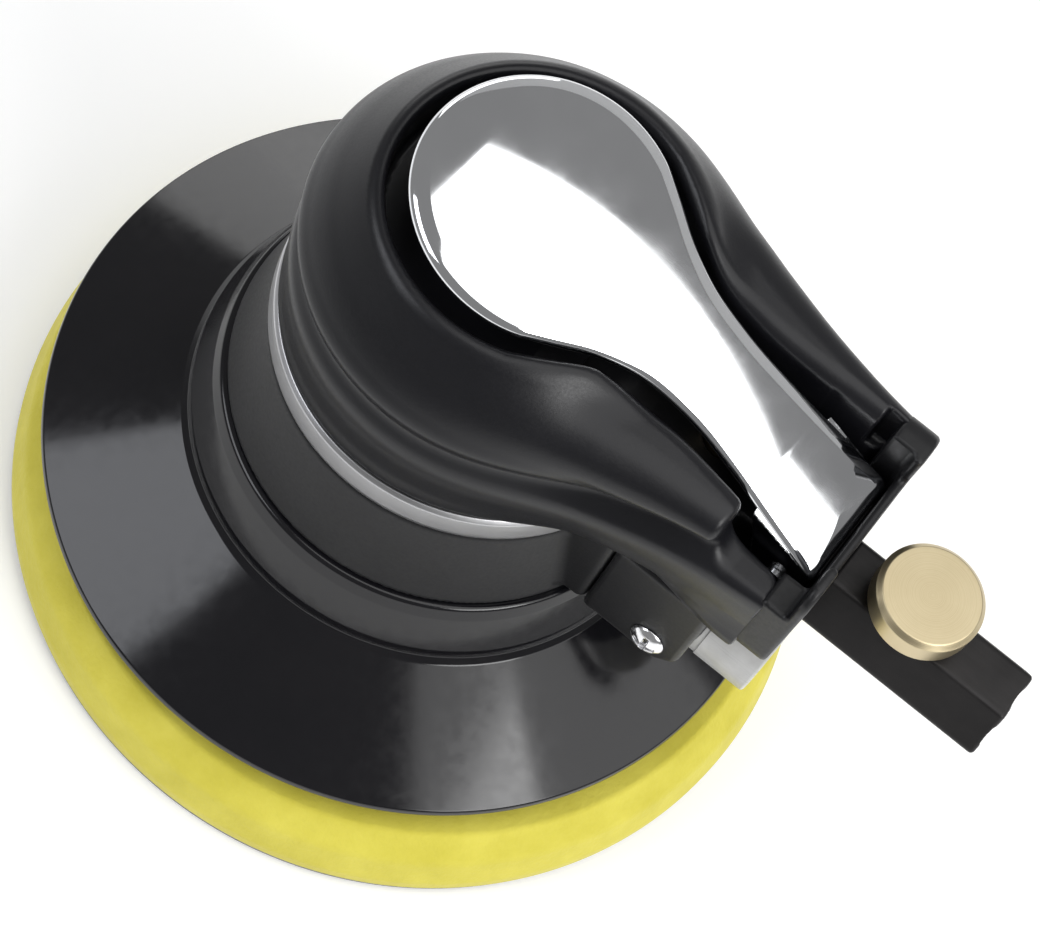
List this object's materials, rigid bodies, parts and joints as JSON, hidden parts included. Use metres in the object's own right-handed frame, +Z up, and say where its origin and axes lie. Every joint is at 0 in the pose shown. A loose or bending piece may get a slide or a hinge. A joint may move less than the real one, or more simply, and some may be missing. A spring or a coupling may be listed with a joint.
{
  "type": "orbital sander",
  "caption": "Palm-grip air-driven random-orbital sander: foam pad, skirt, rubber grip, spoon throttle lever, hexagonal air inlet with regulator knob, rear exhaust.",
  "frame": {"origin": "on the motor axis, in the plane of the working face of the pad", "axes": "+Z up along the motor axis, +X back along the handle towards the air inlet, +Y to the side"},
  "size_m": [0.149, 0.125, 0.1016],
  "materials": {
    "grip_rubber": "satin moulded rubber",
    "housing_plastic": "satin composite",
    "skirt_plastic": "glossy",
    "pad_foam": "fine open-cell foam",
    "hook_face": "hook-and-loop face",
    "pad_plate": "glass-filled plastic",
    "lever_chrome": "polished",
    "ring_aluminium": "satin turned",
    "inlet_black_oxide": "black oxide",
    "brass": "turned satin",
    "steel": "ground",
    "screw_chrome": "bright plated",
    "balancer_steel": "machined",
    "motor_aluminium": "machined",
    "vane_phenolic": "laminated phenolic",
    "seal_rubber": "moulded seal",
    "tube_grey": "light grey, slightly glossy",
    "felt": "felt"
  },
  "bodies": {
    "housing": {"motor_cylinder": "motor_aluminium", "lower_end_plate": "motor_aluminium", "upper_end_plate": "motor_aluminium", "alignment_pin": "steel", "lower_bearing_outer": "steel", "upper_bearing_outer": "steel", "lock_ring": "motor_aluminium", "housing": "housing_plastic", "trim_ring": "ring_aluminium", "motor_o_ring": "seal_rubber", "skirt": "skirt_plastic", "grip_cover": "grip_rubber", "lever_pin": "steel", "valve_seat": "brass", "valve_spring": "steel", "valve_plug": "brass", "inlet_bar": "inlet_black_oxide", "exhaust_block": "housing_plastic", "exhaust_screws": "screw_chrome", "exhaust_tube": "tube_grey", "muffler_felt": "felt"},
    "pad": {"hook_face": "hook_face", "pad_foam": "pad_foam", "pad_plate": "pad_plate", "pad_stud": "steel", "spindle": "steel", "spindle_bearing_inner": "steel"},
    "rotor": {"balancer_shaft": "balancer_steel", "rotor_key": "steel", "rotor": "steel", "vanes": "vane_phenolic", "lower_bearing_inner": "steel", "upper_bearing_inner": "steel", "shaft_snap_ring": "steel", "spindle_bearing_outer": "steel", "spindle_snap_ring": "steel"},
    "lower_cage": {"lower_bearing_balls": "steel"},
    "upper_cage": {"upper_bearing_balls": "steel"},
    "spindle_cage": {"spindle_bearing_balls": "steel"},
    "lever": {"throttle_lever": "lever_chrome"},
    "valve": {"valve_stem": "brass", "valve_disc": "seal_rubber"},
    "regulator": {"regulator_knob": "brass", "regulator_spool": "brass", "regulator_o_ring": "seal_rubber"}
  },
  "joints": [
    {"name": "rotor_spin", "type": "hinge", "parent": "housing", "child": "rotor", "pos_m": [0, 0, 0.06], "axis": [0, 0, 1], "continuous": true},
    {"name": "pad_spin", "type": "hinge", "parent": "rotor", "child": "pad", "pos_m": [0.0025, 0, 0.0276], "axis": [0, 0, 1], "continuous": true},
    {"name": "lower_cage_spin", "type": "hinge", "parent": "housing", "child": "lower_cage", "pos_m": [0, 0, 0.04], "axis": [0, 0, 1], "continuous": true},
    {"name": "upper_cage_spin", "type": "hinge", "parent": "housing", "child": "upper_cage", "pos_m": [0, 0, 0.0765], "axis": [0, 0, 1], "continuous": true},
    {"name": "spindle_cage_spin", "type": "hinge", "parent": "rotor", "child": "spindle_cage", "pos_m": [0.0025, 0, 0.0276], "axis": [0, 0, 1], "continuous": true},
    {"name": "lever_press", "type": "hinge", "parent": "housing", "child": "lever", "pos_m": [0.0526, 0, 0.0762], "axis": [0, -1, 0], "range_deg": [0, 5], "stiffness_Nm_per_rad": 2, "springref_deg": -5.73},
    {"name": "valve_open", "type": "slide", "parent": "housing", "child": "valve", "axis": [0, 0, -1], "range_m": [0, 0.0015], "deforming": ["valve_spring"]},
    {"name": "regulator_turn", "type": "hinge", "parent": "housing", "child": "regulator", "pos_m": [0.0709, 0, 0.0675], "axis": [0, 0, 1], "range_deg": [0, 90]}
  ],
  "couplings": [
    {"joint": "lower_cage_spin", "follows": "rotor_spin", "ratio": 0.385},
    {"joint": "upper_cage_spin", "follows": "rotor_spin", "ratio": 0.37333},
    {"joint": "spindle_cage_spin", "follows": "pad_spin", "ratio": 0.385},
    {"joint": "valve_open", "follows": "lever_press", "m_per_rad": 0.0166}
  ]
}
